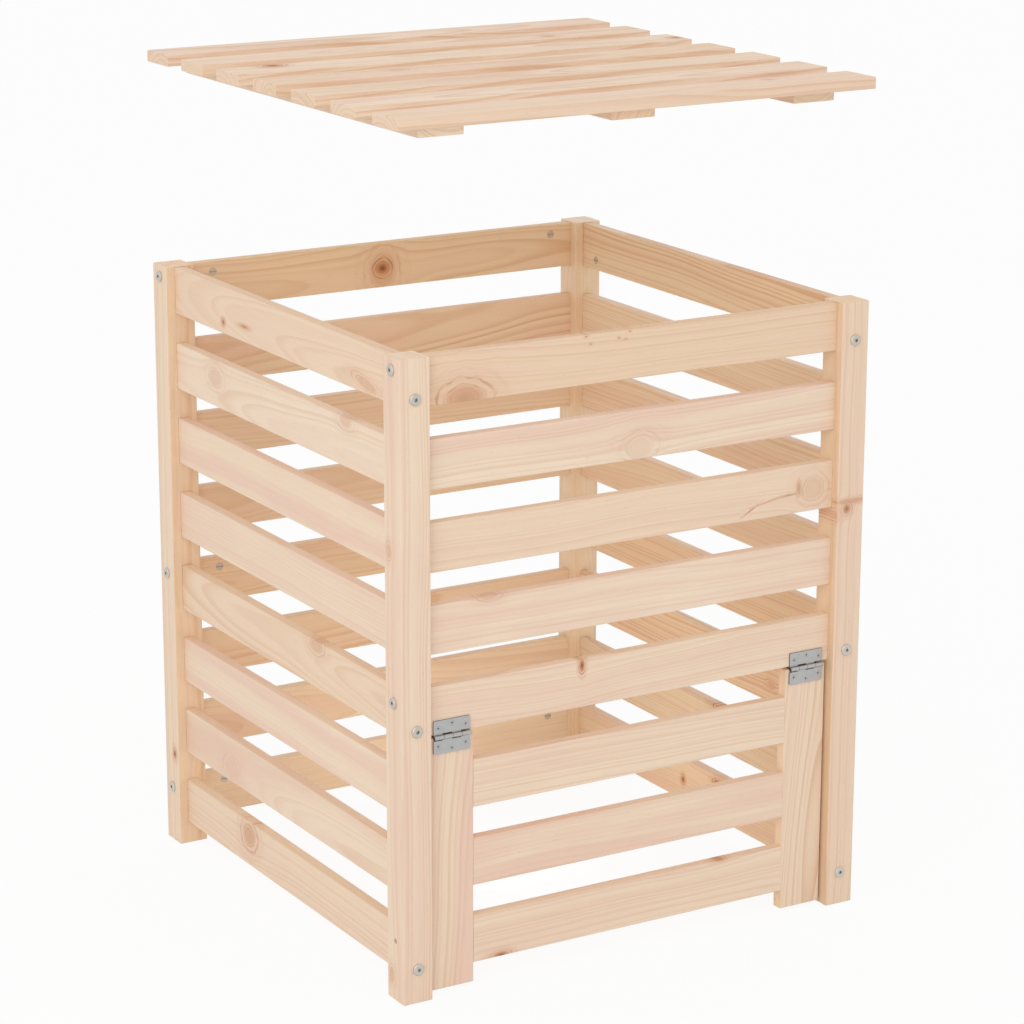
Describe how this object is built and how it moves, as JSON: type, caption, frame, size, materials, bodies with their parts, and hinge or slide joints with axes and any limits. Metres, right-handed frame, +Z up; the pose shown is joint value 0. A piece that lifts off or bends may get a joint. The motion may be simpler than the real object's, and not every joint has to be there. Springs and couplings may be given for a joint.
{
  "type": "compost bin",
  "caption": "Square slatted pine compost bin with bolted corner posts, an emptying door hinged at its top edge at the front, and a loose slatted lid that lifts off.",
  "frame": {"origin": "on the ground, at the middle of the bin", "axes": "+Z up, -Y out of the front where the door is, +X to the right as seen from the front"},
  "size_m": [0.64, 0.64, 1.026],
  "materials": {
    "pine": "planed, untreated",
    "zinc_bolt": "zinc plated",
    "zinc_screw": "zinc plated",
    "galvanised_hinge": "galvanised, satin"
  },
  "bodies": {
    "frame": {"post_front_left": "pine", "post_front_right": "pine", "post_rear_left": "pine", "post_rear_right": "pine", "front_slat_1": "pine", "front_slat_2": "pine", "front_slat_3": "pine", "front_slat_4": "pine", "front_slat_5": "pine", "rear_slat_1": "pine", "rear_slat_2": "pine", "rear_slat_3": "pine", "rear_slat_4": "pine", "rear_slat_5": "pine", "rear_slat_6": "pine", "rear_slat_7": "pine", "rear_slat_8": "pine", "left_slat_1": "pine", "left_slat_2": "pine", "left_slat_3": "pine", "left_slat_4": "pine", "left_slat_5": "pine", "left_slat_6": "pine", "left_slat_7": "pine", "left_slat_8": "pine", "right_slat_1": "pine", "right_slat_2": "pine", "right_slat_3": "pine", "right_slat_4": "pine", "right_slat_5": "pine", "right_slat_6": "pine", "right_slat_7": "pine", "right_slat_8": "pine", "hinge_left_upper_leaf": "galvanised_hinge", "hinge_left_pin": "galvanised_hinge", "hinge_right_upper_leaf": "galvanised_hinge", "hinge_right_pin": "galvanised_hinge", "frame_bolts": "zinc_bolt", "frame_barrel_nuts": "zinc_bolt", "hinge_screws_upper": "zinc_screw"},
    "door": {"door_stile_left": "pine", "door_stile_right": "pine", "door_slat_1": "pine", "door_slat_2": "pine", "door_slat_3": "pine", "hinge_left_lower_leaf": "galvanised_hinge", "hinge_right_lower_leaf": "galvanised_hinge", "hinge_screws_lower": "zinc_screw"},
    "lid": {"lid_slat_1": "pine", "lid_slat_2": "pine", "lid_slat_3": "pine", "lid_slat_4": "pine", "lid_slat_5": "pine", "lid_slat_6": "pine", "lid_slat_7": "pine", "lid_batten_1": "pine", "lid_batten_2": "pine", "lid_batten_3": "pine", "lid_screws": "zinc_screw"}
  },
  "joints": [
    {"name": "door_hinge", "type": "hinge", "parent": "frame", "child": "door", "pos_m": [0, -0.30815, 0.3143], "axis": [-1, 0, 0], "range_deg": [0, 180]},
    {"name": "lid_lift", "type": "slide", "parent": "frame", "child": "lid", "axis": [0, 0, 1], "range_m": [-0.251, 0]}
  ]
}
